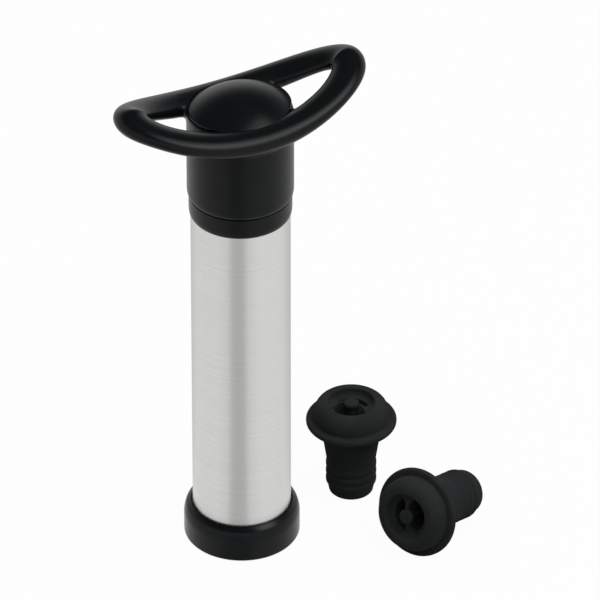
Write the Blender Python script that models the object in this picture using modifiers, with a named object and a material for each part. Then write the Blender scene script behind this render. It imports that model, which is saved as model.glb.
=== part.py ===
"""A wine vacuum pump with its two bottle stoppers, each piece a solid of its own.

Metres, +Z up. The handle's long side runs along X. The origin lies on the table, under the
middle of the set's outline, and the pump stands beside it on an axis of its own.
"""

import math

import bmesh
import bpy
from mathutils import Matrix, Vector

# Clearances
GAP = 0.0003
CUT_OVERRUN = 0.001
MERGE_DISTANCE = 0.00001

# Fineness of the round shapes
PUMP_STEPS = 32
STOPPER_STEPS = 28
SCREW_STEPS = 14
O_RING_STEPS = 8
DOME_STEPS = 6
ROUND_STEPS = 3
FINE_ROUND_STEPS = 2
LOOP_STEPS = 44
SECTION_STEPS = 12

# Steel tube
TUBE_RADIUS = 0.0190
TUBE_WALL = 0.0005
TUBE_LENGTH = 0.1452

# Base ring
RING_RADIUS = 0.0224
RING_HEIGHT = 0.0147
RING_SHOULDER_HEIGHT = 0.0118
RING_SHOULDER_ROUND = 0.0014
RING_LIP_WIDTH = 0.0010
RING_FLOOR = 0.0035
RING_FOOT_ROUND = 0.0016
BRIM_CLEARANCE = 0.0003

# Cylinder liner
LINER_WALL = 0.0020

# Inlet cup and its seals
CUP_ROOF = 0.0030
CUP_SPIGOT = 0.0050
CUP_RIM_STEP = 0.0008
HEAD_CLEARANCE = 0.0006
INLET_RADIUS = 0.0020
GASKET_THICKNESS = 0.0020
GASKET_WIDTH = 0.0055
O_RING_THICKNESS = 0.0012

# Collar and what it holds
COLLAR_RADIUS = 0.01965
COLLAR_HEIGHT = 0.0081
COLLAR_ROUND_HEIGHT = 0.0028
COLLAR_ROUND_DEPTH = 0.0005
COLLAR_EDGE = 0.0004
COLLAR_SPIGOT = 0.0090
BUSH_WALL = 0.0015
BUSH_FLANGE_WIDTH = 0.0014
BUSH_FLANGE_THICKNESS = 0.0015
BUMPER_THICKNESS = 0.0021

# Piston rod
ROD_RADIUS = 0.0120
ROD_WALL = 0.0020
ROD_END_PLATE = 0.0040

# Piston
PISTON_REST_HEIGHT = 0.0015
HEAD_FLANGE = 0.0040
HEAD_RECESS = 0.0015
HEAD_SIDE_CLEARANCE = 0.0005
SEAL_HEIGHT = 0.0060
SEAL_WIDTH = 0.0050
SEAL_GROOVE_DEPTH = 0.0036
SEAL_LIP = 0.0013
RETAINER_THICKNESS = 0.0030
RETAINER_EDGE = 0.0022

# Screws and washer
SCREW_RADIUS = 0.0020
SCREW_HEAD_RADIUS = 0.0038
SCREW_HEAD_HEIGHT = 0.0020
SCREW_DRIVE_RADIUS = 0.0014
SCREW_DRIVE_DEPTH = 0.0011
WASHER_RADIUS = 0.0058
WASHER_THICKNESS = 0.0008

# Handle: the neck and hub
NECK_RADIUS = 0.0203
NECK_WALL = 0.0022
NECK_HOLLOW = 0.0263
NECK_ROUND_HEIGHT = 0.0026
NECK_ROUND_DEPTH = 0.0008
HUB_ROOF = 0.0040
HUB_POCKET = 0.0074
SOCKET_WALL = 0.0020
SOCKET_DEPTH = 0.0080

# Handle: the loop of grip bars
LOOP_HALF_LENGTH = 0.0464
LOOP_HALF_WIDTH = 0.0172
LOOP_END_RISE = 0.0119
LOOP_DROP = 0.0039
BAR_MIDDLE_HALF_WIDTH = 0.0062
BAR_END_HALF_WIDTH = 0.0052
BAR_HALF_HEIGHT = 0.0051

# Handle cap
CAP_HALF_LENGTH = 0.0200
CAP_HALF_WIDTH = 0.0171
CAP_RIM = 0.0009
CAP_RISE = 0.0066
CAP_WALL = 0.0020
CAP_SPIGOT_RADIUS = 0.0130
CAP_SPIGOT_DEPTH = 0.0030

# Stopper: heights up from its foot, and radii
STOPPER_HEIGHT = 0.0413
FOOT_RADIUS = 0.0087
FOOT_ROUND = 0.0009
PLUG_LENGTH = 0.0036
VALLEY_RADIUS = 0.0092
RIB_RADIUS = 0.00985
RIB_CREST = 0.0014
RIB_PITCH = 0.00355
RIB_COUNT = 3
STEM_FOOT_RADIUS = 0.0095
STEM_TOP_RADIUS = 0.0116
STEM_TOP_HEIGHT = 0.0282
BEAD_RADIUS = 0.0122
BEAD_HEIGHT = 0.0018
BRIM_RADIUS = 0.0176
BRIM_THICKNESS = 0.0026
BRIM_ROUND = 0.0011
BRIM_TOP_HEIGHT = 0.0341
DOME_RADIUS = 0.01465
DOME_HEIGHT = 0.0054
LIP_RADIUS = 0.0097
LIP_ROUND = 0.0007
CRATER_FLOOR_RADIUS = 0.0060
CRATER_DEPTH = 0.0105
POST_RADIUS = 0.0027
POST_SINK = 0.0009
WEB_THICKNESS = 0.0013
WEB_SINK = 0.0030
STEM_BORE_RADIUS = 0.0062
MEMBRANE_THICKNESS = 0.0030

# Where the stoppers lie, measured from the pump's axis
STANDING_X = 0.0497
STANDING_Y = 0.0038
STANDING_TURN = math.radians(-44)
LYING_X = 0.0545
LYING_Y = -0.0429
LYING_HEADING = math.radians(26)
LYING_ROLL = math.radians(38)

# Colours, roughness and metal of each finish
STEEL = ((0.60, 0.60, 0.59), 0.30, 1.0)
SCREW_STEEL = ((0.55, 0.55, 0.55), 0.35, 1.0)
BLACK_PLASTIC = ((0.012, 0.014, 0.014), 0.38, 0.0)
LINER_PLASTIC = ((0.55, 0.56, 0.55), 0.45, 0.0)
ROD_PLASTIC = ((0.035, 0.038, 0.038), 0.40, 0.0)
BUSH_PLASTIC = ((0.60, 0.58, 0.53), 0.50, 0.0)
BLACK_RUBBER = ((0.010, 0.011, 0.011), 0.62, 0.0)
SEAL_RUBBER = ((0.030, 0.030, 0.030), 0.70, 0.0)

# Radii that follow from the steel tube inwards
tube_bore = TUBE_RADIUS - TUBE_WALL
liner_radius = tube_bore - GAP
bore_radius = liner_radius - LINER_WALL
spigot_radius = bore_radius - GAP
bush_bore = ROD_RADIUS + GAP
bush_radius = bush_bore + BUSH_WALL
screw_hole = SCREW_RADIUS + GAP

# Heights that follow from the table upwards
tube_bottom = RING_FLOOR + GAP
tube_top = tube_bottom + TUBE_LENGTH
head_rise = STOPPER_HEIGHT - BRIM_TOP_HEIGHT
cup_bottom = RING_FLOOR + GAP
cup_rim_bottom = cup_bottom - CUP_RIM_STEP
cup_roof_bottom = cup_rim_bottom + head_rise + GASKET_THICKNESS + 2 * GAP
cup_roof_top = cup_roof_bottom + CUP_ROOF
cup_top = cup_roof_top + CUP_SPIGOT
liner_bottom = cup_roof_top + GAP
collar_bottom = tube_top + GAP
collar_top = collar_bottom + COLLAR_HEIGHT
collar_spigot_bottom = collar_bottom - COLLAR_SPIGOT
bush_bottom = collar_spigot_bottom - BUMPER_THICKNESS - GAP
piston_bottom = cup_top + PISTON_REST_HEIGHT
seal_bottom = piston_bottom + RETAINER_THICKNESS + GAP
seal_top = seal_bottom + SEAL_HEIGHT
head_flange_bottom = seal_top + GAP
head_top = head_flange_bottom + HEAD_FLANGE
rod_bottom = head_top - HEAD_RECESS + GAP
neck_bottom = collar_top + GAP
hub_roof_bottom = neck_bottom + NECK_HOLLOW
hub_roof_top = hub_roof_bottom + HUB_ROOF
hub_top = hub_roof_top + HUB_POCKET
rod_top = hub_roof_bottom - GAP
loop_height = hub_top - LOOP_DROP


def new_collection(name):
    collection = bpy.data.collections.new(name)
    bpy.context.scene.collection.children.link(collection)
    return collection


def clear_scene():
    for thing in list(bpy.data.objects):
        bpy.data.objects.remove(thing, do_unlink=True)
    for collection in list(bpy.data.collections):
        bpy.data.collections.remove(collection)


clear_scene()
PARTS = new_collection("wine_vacuum_pump")
CUTTERS = new_collection("wine_vacuum_pump_cutters")


def finish(name, look):
    """A material with the colour, roughness and metallic value of one finish."""
    colour, roughness, metallic = look
    material = bpy.data.materials.new(name)
    material.use_nodes = True
    shader = material.node_tree.nodes["Principled BSDF"]
    shader.inputs["Base Color"].default_value = (*colour, 1.0)
    shader.inputs["Roughness"].default_value = roughness
    shader.inputs["Metallic"].default_value = metallic
    material.diffuse_color = (*colour, 1.0)
    return material


def joint_frame(name, place, parent=None):
    """An empty on a joint's axis, which carries the pieces that move on it."""
    empty = bpy.data.objects.new(name, None)
    PARTS.objects.link(empty)
    empty.parent = parent
    empty.location = place
    empty.empty_display_size = TUBE_RADIUS
    return empty


def turned_mesh(name, outline, closed):
    """A profile in the XZ plane. It runs down the outer side, from the top to the bottom."""
    count = len(outline)
    edges = [(i, i + 1) for i in range(count - 1)]
    if closed:
        edges.append((count - 1, 0))
    mesh = bpy.data.meshes.new(name)
    mesh.from_pydata([(radius, 0.0, height) for radius, height in outline], edges, [])
    return mesh


def turn(thing, steps):
    """Turns the profile about the object's own Z axis."""
    screw = thing.modifiers.new("turn", "SCREW")
    screw.axis = "Z"
    screw.angle = math.tau
    screw.steps = steps
    screw.render_steps = steps
    screw.use_merge_vertices = True
    screw.merge_threshold = MERGE_DISTANCE
    screw.use_smooth_shade = True


def turned(name, outline, look, frame, closed=True, steps=PUMP_STEPS):
    """A turned piece. A closed outline makes a ring, an open one starts and ends on the axis."""
    piece = bpy.data.objects.new(name, turned_mesh(name, outline, closed))
    PARTS.objects.link(piece)
    piece.parent = frame
    piece.data.materials.append(finish(name, look))
    turn(piece, steps)
    return piece


def turned_cutter(name, outline, frame, closed=False, steps=PUMP_STEPS):
    cutter = bpy.data.objects.new(name, turned_mesh(name, outline, closed))
    turn(cutter, steps)
    return hide_cutter(cutter, frame)


def hide_cutter(cutter, frame):
    CUTTERS.objects.link(cutter)
    cutter.parent = frame
    cutter.hide_render = True
    cutter.display_type = "WIRE"
    return cutter


def boolean(piece, other, operation):
    modifier = piece.modifiers.new(f"{operation.lower()} {other.name}", "BOOLEAN")
    modifier.operation = operation
    modifier.object = other
    modifier.solver = "EXACT"


def arc(centre_r, centre_z, half_width, half_height, start, end, steps=ROUND_STEPS):
    """Points of an elliptical arc. Angles run from +r towards +z, in degrees."""
    points = []
    for i in range(steps + 1):
        angle = math.radians(start + (end - start) * i / steps)
        points.append(
            (centre_r + half_width * math.cos(angle), centre_z + half_height * math.sin(angle))
        )
    return points


def plain_ring(inner, outer, bottom, top):
    """The outline of a ring with a rectangular section."""
    return [(outer, top), (outer, bottom), (inner, bottom), (inner, top)]


def make_steel_tube(frame):
    turned("steel_tube", plain_ring(tube_bore, TUBE_RADIUS, tube_bottom, tube_top), STEEL, frame)


def make_cylinder_liner(frame):
    outline = plain_ring(bore_radius, liner_radius, liner_bottom, tube_top)
    turned("cylinder_liner", outline, LINER_PLASTIC, frame)


def make_base_ring(frame):
    """The foot that the pump stands on. A thin lip rises from its shoulder round the tube. Its
    floor carries the tube and the cup, and the hole in it takes the stopper's brim."""
    mouth = BRIM_RADIUS + BRIM_CLEARANCE
    seat = TUBE_RADIUS + GAP
    lip = seat + RING_LIP_WIDTH
    shoulder_r = RING_RADIUS - RING_SHOULDER_ROUND
    shoulder_z = RING_SHOULDER_HEIGHT - RING_SHOULDER_ROUND
    foot_centre = RING_RADIUS - RING_FOOT_ROUND
    outline = [(lip, RING_HEIGHT), (lip, RING_SHOULDER_HEIGHT)]
    outline += arc(shoulder_r, shoulder_z, RING_SHOULDER_ROUND, RING_SHOULDER_ROUND, 90, 0)
    outline += arc(foot_centre, RING_FOOT_ROUND, RING_FOOT_ROUND, RING_FOOT_ROUND, 0, -90)
    outline += [
        (mouth, 0.0),
        (mouth, RING_FLOOR),
        (seat, RING_FLOOR),
        (seat, RING_HEIGHT),
    ]
    turned("base_ring", outline, BLACK_PLASTIC, frame)


def make_inlet_cup(frame):
    """Closes the cylinder below. Its bell fits over the stopper's head, with a stepped rim that
    centres it in the base ring's mouth. Air is drawn in through the hole in its roof."""
    socket = DOME_RADIUS + HEAD_CLEARANCE
    rim = BRIM_RADIUS + BRIM_CLEARANCE - GAP
    groove_floor = spigot_radius - O_RING_THICKNESS - GAP
    groove_half = O_RING_THICKNESS / 2 + GAP
    groove_middle = (cup_roof_top + cup_top) / 2
    outline = [
        (spigot_radius, cup_top),
        (spigot_radius, groove_middle + groove_half),
        (groove_floor, groove_middle + groove_half),
        (groove_floor, groove_middle - groove_half),
        (spigot_radius, groove_middle - groove_half),
        (spigot_radius, cup_roof_top),
        (liner_radius, cup_roof_top),
        (liner_radius, cup_bottom),
        (rim, cup_bottom),
        (rim, cup_rim_bottom),
        (socket, cup_rim_bottom),
        (socket, cup_roof_bottom),
        (INLET_RADIUS, cup_roof_bottom),
        (INLET_RADIUS, cup_roof_top),
        (groove_floor - LINER_WALL, cup_roof_top),
        (groove_floor - LINER_WALL, cup_top),
    ]
    turned("inlet_cup", outline, BLACK_PLASTIC, frame)


def make_inlet_gasket(frame):
    """The soft ring in the bell's roof that closes on the stopper's head."""
    outer = DOME_RADIUS + HEAD_CLEARANCE - GAP
    top = cup_roof_bottom - GAP
    bottom = top - GASKET_THICKNESS
    inner = outer - GASKET_WIDTH
    turned("inlet_gasket", plain_ring(inner, outer, bottom, top), SEAL_RUBBER, frame)


def make_cup_o_ring(frame):
    half = O_RING_THICKNESS / 2
    middle = (cup_roof_top + cup_top) / 2
    outline = arc(spigot_radius - half, middle, half, half, 360, 0, O_RING_STEPS)[:-1]
    turned("cup_o_ring", outline, SEAL_RUBBER, frame)


def make_collar(frame):
    """The cap on the tube's upper end. Its spigot centres it in the liner."""
    seat = bush_radius + GAP
    recess = seat + BUSH_FLANGE_WIDTH
    recess_floor = collar_top - BUSH_FLANGE_THICKNESS - GAP
    round_centre = COLLAR_RADIUS - COLLAR_ROUND_DEPTH
    outline = [(COLLAR_RADIUS - COLLAR_EDGE, collar_top), (COLLAR_RADIUS, collar_top - COLLAR_EDGE)]
    outline += arc(
        round_centre,
        collar_bottom + COLLAR_ROUND_HEIGHT,
        COLLAR_ROUND_DEPTH,
        COLLAR_ROUND_HEIGHT,
        0,
        -90,
    )
    outline += [
        (spigot_radius, collar_bottom),
        (spigot_radius, collar_spigot_bottom),
        (seat, collar_spigot_bottom),
        (seat, recess_floor),
        (recess, recess_floor),
        (recess, collar_top),
    ]
    turned("collar", outline, BLACK_PLASTIC, frame)


def make_rod_bush(frame):
    """Guides the rod. Its flange lies in the collar's top."""
    flange = bush_radius + BUSH_FLANGE_WIDTH
    flange_bottom = collar_top - BUSH_FLANGE_THICKNESS
    outline = [
        (flange, collar_top),
        (flange, flange_bottom),
        (bush_radius, flange_bottom),
        (bush_radius, bush_bottom),
        (bush_bore, bush_bottom),
        (bush_bore, collar_top),
    ]
    turned("rod_bush", outline, BUSH_PLASTIC, frame)


def make_bumper_ring(frame):
    """The soft ring that stops the piston at the top of its stroke."""
    top = collar_spigot_bottom - GAP
    outline = plain_ring(bush_radius + GAP, spigot_radius, top - BUMPER_THICKNESS, top)
    turned("bumper_ring", outline, SEAL_RUBBER, frame)


def screw_outline(head_top, shank_bottom):
    """A pan head with a socket in it, on a plain shank that points down."""
    drive_floor = head_top - SCREW_DRIVE_DEPTH
    edge = SCREW_HEAD_HEIGHT / 2
    outline = [
        (0.0, drive_floor),
        (SCREW_DRIVE_RADIUS, drive_floor),
        (SCREW_DRIVE_RADIUS, head_top),
    ]
    outline += arc(SCREW_HEAD_RADIUS - edge, head_top - edge, edge, edge, 90, 0)
    outline += [
        (SCREW_HEAD_RADIUS, head_top - SCREW_HEAD_HEIGHT),
        (SCREW_RADIUS, head_top - SCREW_HEAD_HEIGHT),
        (SCREW_RADIUS, shank_bottom),
        (0.0, shank_bottom),
    ]
    return outline


def mirrored(outline, about):
    """The same outline upside down, kept running from the top to the bottom."""
    return [(radius, 2 * about - height) for radius, height in reversed(outline)]


def make_piston_rod(frame):
    """A tube closed by a drilled plate at each end."""
    inside = ROD_RADIUS - ROD_WALL
    outline = [
        (ROD_RADIUS, rod_top),
        (ROD_RADIUS, rod_bottom),
        (screw_hole, rod_bottom),
        (screw_hole, rod_bottom + ROD_END_PLATE),
        (inside, rod_bottom + ROD_END_PLATE),
        (inside, rod_top - ROD_END_PLATE),
        (screw_hole, rod_top - ROD_END_PLATE),
        (screw_hole, rod_top),
    ]
    turned("piston_rod", outline, ROD_PLASTIC, frame)


def make_piston_head(frame):
    """A flange that carries the rod, with a spigot below it for the seal."""
    flange = bore_radius - HEAD_SIDE_CLEARANCE
    spigot = spigot_radius - SEAL_WIDTH - GAP
    recess = ROD_RADIUS + GAP
    outline = [
        (flange, head_top),
        (flange, head_flange_bottom),
        (spigot, head_flange_bottom),
        (spigot, seal_bottom),
        (screw_hole, seal_bottom),
        (screw_hole, head_top - HEAD_RECESS),
        (recess, head_top - HEAD_RECESS),
        (recess, head_top),
    ]
    turned("piston_head", outline, BLACK_PLASTIC, frame)


def make_piston_seal(frame):
    """A cup seal with its groove open above: it grips on the way up, and its lip lets the
    air past on the way down."""
    inner = spigot_radius - SEAL_WIDTH
    groove_floor = seal_top - SEAL_GROOVE_DEPTH
    outline = [
        (spigot_radius, seal_top),
        (spigot_radius, groove_floor),
        (spigot_radius - SEAL_LIP, seal_bottom),
        (inner, seal_bottom),
        (inner, seal_top),
        (inner + SEAL_LIP, seal_top),
        (inner + SEAL_LIP, groove_floor),
        (spigot_radius - SEAL_LIP, groove_floor),
    ]
    turned("piston_seal", outline, SEAL_RUBBER, frame)


def make_seal_retainer(frame):
    """The disc that holds the seal on its spigot, with the screw's head sunk in it."""
    outer = spigot_radius - RETAINER_EDGE
    top = seal_bottom - GAP
    sink_radius = SCREW_HEAD_RADIUS + GAP
    sink_top = piston_bottom + SCREW_HEAD_HEIGHT
    outline = [
        (outer, top),
        (outer, piston_bottom),
        (sink_radius, piston_bottom),
        (sink_radius, sink_top),
        (screw_hole, sink_top),
        (screw_hole, top),
    ]
    turned("seal_retainer", outline, BLACK_PLASTIC, frame)


def make_piston_screw(frame):
    """Comes up through the retainer and the piston's head into the rod's lower plate."""
    head_bottom = piston_bottom - GAP
    tip = rod_bottom + ROD_END_PLATE
    middle = (head_bottom + tip) / 2
    outline = mirrored(screw_outline(tip, head_bottom), middle)
    turned("piston_screw", outline, SCREW_STEEL, frame, closed=False, steps=SCREW_STEPS)


def make_handle_screw(frame):
    """Goes down through the hub's roof into the rod's upper plate."""
    head_top = hub_roof_top + 2 * GAP + WASHER_THICKNESS + SCREW_HEAD_HEIGHT
    outline = screw_outline(head_top, rod_top - ROD_END_PLATE)
    turned("handle_screw", outline, SCREW_STEEL, frame, closed=False, steps=SCREW_STEPS)


def make_handle_washer(frame):
    bottom = hub_roof_top + GAP
    outline = plain_ring(screw_hole, WASHER_RADIUS, bottom, bottom + WASHER_THICKNESS)
    turned("handle_washer", outline, SCREW_STEEL, frame)


def loop_point(angle):
    """A point on the middle line of the grip: an oval seen from above, with raised ends."""
    x = LOOP_HALF_LENGTH * math.cos(angle)
    y = LOOP_HALF_WIDTH * math.sin(angle)
    return Vector((x, y, loop_height + LOOP_END_RISE * math.cos(angle) ** 2))


def loop_heading(angle):
    """The direction in which the middle line runs there."""
    x = -LOOP_HALF_LENGTH * math.sin(angle)
    y = LOOP_HALF_WIDTH * math.cos(angle)
    return Vector((x, y, -LOOP_END_RISE * math.sin(2 * angle))).normalized()


def bar_ring(angle):
    """The bar's oval section there. The bars are widest beside the hub, and the ends slimmest."""
    heading = loop_heading(angle)
    outward = heading.cross(Vector((0.0, 0.0, 1.0))).normalized()
    upward = outward.cross(heading)
    widening = (BAR_MIDDLE_HALF_WIDTH - BAR_END_HALF_WIDTH) * math.sin(angle) ** 2
    ring = []
    for i in range(SECTION_STEPS):
        turned_by = math.tau * i / SECTION_STEPS
        across = outward * (BAR_END_HALF_WIDTH + widening) * math.cos(turned_by)
        ring.append(loop_point(angle) + across + upward * BAR_HALF_HEIGHT * math.sin(turned_by))
    return ring


def loop_mesh():
    """The grip bars as one closed tube, lofted through oval sections of unlike widths."""
    tube = bmesh.new()
    rings = []
    for i in range(LOOP_STEPS):
        rings.append([tube.verts.new(point) for point in bar_ring(math.tau * i / LOOP_STEPS)])
    for i, ring in enumerate(rings):
        following = rings[(i + 1) % LOOP_STEPS]
        for j in range(SECTION_STEPS):
            k = (j + 1) % SECTION_STEPS
            tube.faces.new((ring[j], following[j], following[k], ring[k])).smooth = True
    bmesh.ops.recalc_face_normals(tube, faces=tube.faces)
    mesh = bpy.data.meshes.new("grip_loop")
    tube.to_mesh(mesh)
    tube.free()
    return mesh


def handle_inside(frame):
    """The handle's hollow from top to bottom: the pocket for the cap, the screw's hole, the
    socket for the rod and the bore of the neck."""
    bore = NECK_RADIUS - NECK_WALL
    pocket = CAP_SPIGOT_RADIUS + GAP
    pocket_top = loop_height + LOOP_END_RISE
    socket_bore = ROD_RADIUS + GAP
    socket_outer = socket_bore + SOCKET_WALL
    socket_bottom = hub_roof_bottom - SOCKET_DEPTH
    outline = [
        (0.0, pocket_top),
        (pocket, pocket_top),
        (pocket, hub_roof_top),
        (screw_hole, hub_roof_top),
        (screw_hole, hub_roof_bottom),
        (socket_bore, hub_roof_bottom),
        (socket_bore, socket_bottom),
        (socket_outer, socket_bottom),
        (socket_outer, hub_roof_bottom),
        (bore, hub_roof_bottom),
        (bore, neck_bottom - CUT_OVERRUN),
        (0.0, neck_bottom - CUT_OVERRUN),
    ]
    return turned_cutter("handle_inside", outline, frame)


def cap_room(frame):
    """The oval space over the hub that the bars leave free for the cap."""
    half_length = CAP_HALF_LENGTH + GAP
    outline = [
        (0.0, loop_height + LOOP_END_RISE),
        (half_length, loop_height + LOOP_END_RISE),
        (half_length, hub_top - CUT_OVERRUN),
        (0.0, hub_top - CUT_OVERRUN),
    ]
    room = turned_cutter("cap_room", outline, frame)
    room.scale.y = (CAP_HALF_WIDTH + GAP) / half_length
    return room


def make_handle(frame):
    """One moulding: a hollow neck that comes down to the collar, a hub with a pocket for the
    cap, a socket for the rod, and the loop of grip bars across it."""
    outline = [(0.0, hub_top), (NECK_RADIUS, hub_top)]
    outline += arc(
        NECK_RADIUS - NECK_ROUND_DEPTH,
        neck_bottom + NECK_ROUND_HEIGHT,
        NECK_ROUND_DEPTH,
        NECK_ROUND_HEIGHT,
        0,
        -90,
    )
    outline.append((0.0, neck_bottom))
    handle = turned("handle", outline, BLACK_PLASTIC, frame, closed=False)

    loop = hide_cutter(bpy.data.objects.new("grip_loop", loop_mesh()), frame)
    boolean(loop, cap_room(frame), "DIFFERENCE")
    boolean(handle, loop, "UNION")
    boolean(handle, handle_inside(frame), "DIFFERENCE")
    return handle


def dome_arc(rim_radius, rim_height, rise):
    """A spherical cap's outline, from its crown on the axis down to its rim."""
    sphere = (rim_radius**2 + rise**2) / (2 * rise)
    half_angle = math.asin(rim_radius / sphere)
    centre = rim_height + rise - sphere
    points = []
    for i in range(DOME_STEPS + 1):
        angle = half_angle * i / DOME_STEPS
        points.append((sphere * math.sin(angle), centre + sphere * math.cos(angle)))
    return points


def make_handle_cap(frame):
    """The oval dome over the hub's screw. It is turned round and then narrowed, and its round
    spigot is joined on."""
    base = hub_top + GAP
    rim_top = base + CAP_RIM
    outline = dome_arc(CAP_HALF_LENGTH, rim_top, CAP_RISE)
    outline += [
        (CAP_HALF_LENGTH, base),
        (0.0, base),
    ]
    cap = turned("handle_cap", outline, BLACK_PLASTIC, frame, closed=False)
    cap.scale.y = CAP_HALF_WIDTH / CAP_HALF_LENGTH

    spigot_inner = CAP_SPIGOT_RADIUS - CAP_WALL
    spigot = turned_cutter(
        "cap_spigot",
        plain_ring(spigot_inner, CAP_SPIGOT_RADIUS, base - CAP_SPIGOT_DEPTH, rim_top),
        frame,
        closed=True,
    )
    boolean(cap, spigot, "UNION")
    return cap


def crater_outline():
    """The funnel in the stopper's head, from its floor on the axis up to the lip."""
    floor = STOPPER_HEIGHT - CRATER_DEPTH
    lip_middle = STOPPER_HEIGHT - LIP_ROUND
    points = [(0.0, floor), (CRATER_FLOOR_RADIUS, floor)]
    points += arc(LIP_RADIUS, lip_middle, LIP_ROUND, LIP_ROUND, 180, 90, FINE_ROUND_STEPS)
    return points


def head_outline():
    """The dome outside the lip, and the brim below it down to its underside."""
    dome_start = LIP_RADIUS + LIP_ROUND
    dome_middle = STOPPER_HEIGHT - DOME_HEIGHT
    points = arc(dome_start, dome_middle, DOME_RADIUS - dome_start, DOME_HEIGHT, 80, 0)
    points.append((DOME_RADIUS, BRIM_TOP_HEIGHT))
    edge = BRIM_RADIUS - BRIM_ROUND
    upper = BRIM_TOP_HEIGHT - BRIM_ROUND
    lower = BRIM_TOP_HEIGHT - BRIM_THICKNESS + BRIM_ROUND
    points += arc(edge, upper, BRIM_ROUND, BRIM_ROUND, 75, 0, FINE_ROUND_STEPS)
    points += arc(edge, lower, BRIM_ROUND, BRIM_ROUND, 0, -75, FINE_ROUND_STEPS)
    return points


def stem_outline():
    """The bead under the brim, the tapered stem, the ribs and the plug down to the foot."""
    rib_bottom = PLUG_LENGTH
    points = [
        (BEAD_RADIUS, STEM_TOP_HEIGHT + BEAD_HEIGHT),
        (BEAD_RADIUS, STEM_TOP_HEIGHT),
        (STEM_TOP_RADIUS, STEM_TOP_HEIGHT),
        (STEM_FOOT_RADIUS, rib_bottom + RIB_COUNT * RIB_PITCH),
    ]
    for i in reversed(range(RIB_COUNT)):
        valley = rib_bottom + i * RIB_PITCH
        rib_middle = valley + RIB_PITCH / 2
        points.append((RIB_RADIUS, rib_middle + RIB_CREST / 2))
        points.append((RIB_RADIUS, rib_middle - RIB_CREST / 2))
        points.append((VALLEY_RADIUS, valley))
    foot_edge = FOOT_RADIUS - FOOT_ROUND
    points += arc(foot_edge, FOOT_ROUND, FOOT_ROUND, FOOT_ROUND, 0, -90, FINE_ROUND_STEPS)
    return points


def bore_outline():
    """The hollow of the stem, open at the foot and closed by the valve's membrane."""
    top = STOPPER_HEIGHT - CRATER_DEPTH - MEMBRANE_THICKNESS
    return [(STEM_BORE_RADIUS, 0.0), (STEM_BORE_RADIUS, top), (0.0, top)]


def stopper_outline():
    return crater_outline() + head_outline() + stem_outline() + bore_outline()


def make_stopper(name, frame):
    """One rubber moulding: plug, brim and head, with the post and its two webs that stand in
    the crater."""
    stopper = turned(
        name, stopper_outline(), BLACK_RUBBER, frame, closed=False, steps=STOPPER_STEPS
    )
    floor = STOPPER_HEIGHT - CRATER_DEPTH - MEMBRANE_THICKNESS / 2
    post_top = STOPPER_HEIGHT - POST_SINK
    post_outline = [(0.0, post_top), (POST_RADIUS, post_top), (POST_RADIUS, floor), (0.0, floor)]
    post = turned_cutter(f"{name}_post", post_outline, frame, steps=SCREW_STEPS)

    web_top = STOPPER_HEIGHT - WEB_SINK
    bpy.ops.mesh.primitive_cube_add(size=1.0)
    web = bpy.context.object
    web.name = f"{name}_webs"
    for collection in list(web.users_collection):
        collection.objects.unlink(web)
    length = 2 * LIP_RADIUS
    web.data.transform(Matrix.Diagonal((length, WEB_THICKNESS, web_top - floor, 1.0)))
    web.data.transform(Matrix.Translation((0.0, 0.0, (web_top + floor) / 2)))
    hide_cutter(web, frame)

    boolean(stopper, web, "UNION")
    boolean(stopper, post, "UNION")
    return stopper


def lying_pose():
    """How a stopper lies on its side: it rests on the brim and the foot, with the foot end of
    its axis pointing along the heading and a little down."""
    slope = math.atan2(BRIM_RADIUS - FOOT_RADIUS, BRIM_TOP_HEIGHT - BRIM_THICKNESS / 2)
    axis_up = Vector(
        (
            -math.cos(LYING_HEADING) * math.cos(slope),
            -math.sin(LYING_HEADING) * math.cos(slope),
            math.sin(slope),
        )
    )
    turn_over = Vector((0.0, 0.0, 1.0)).rotation_difference(axis_up).to_matrix()
    return turn_over @ Matrix.Rotation(LYING_ROLL, 3, "Z"), axis_up


def reach(direction, foot, axis_up):
    """How far a turned stopper reaches in a direction, from where its foot and axis are."""
    across = math.sqrt(max(0.0, 1.0 - axis_up.dot(direction) ** 2))
    return max(
        (foot + axis_up * height).dot(direction) + radius * across
        for radius, height in stopper_outline()
    )


def lying_foot(axis_up):
    """Where the lying stopper's foot is, with its brim over its own place on the table."""
    brim_place = Vector((LYING_X, LYING_Y, 0.0))
    foot = brim_place - axis_up * (BRIM_TOP_HEIGHT - BRIM_THICKNESS / 2)
    foot.z = 0.0
    foot.z = reach(Vector((0.0, 0.0, -1.0)), foot, axis_up)
    return foot


def pump_place(axis_up, foot):
    """The pump's axis, put so that the origin is under the middle of the set's outline."""
    left = -(LOOP_HALF_LENGTH + BAR_END_HALF_WIDTH)
    back = LOOP_HALF_WIDTH + BAR_MIDDLE_HALF_WIDTH
    right = reach(Vector((1.0, 0.0, 0.0)), foot, axis_up)
    front = -reach(Vector((0.0, -1.0, 0.0)), foot, axis_up)
    return Vector((-(left + right) / 2, -(front + back) / 2, 0.0))


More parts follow.
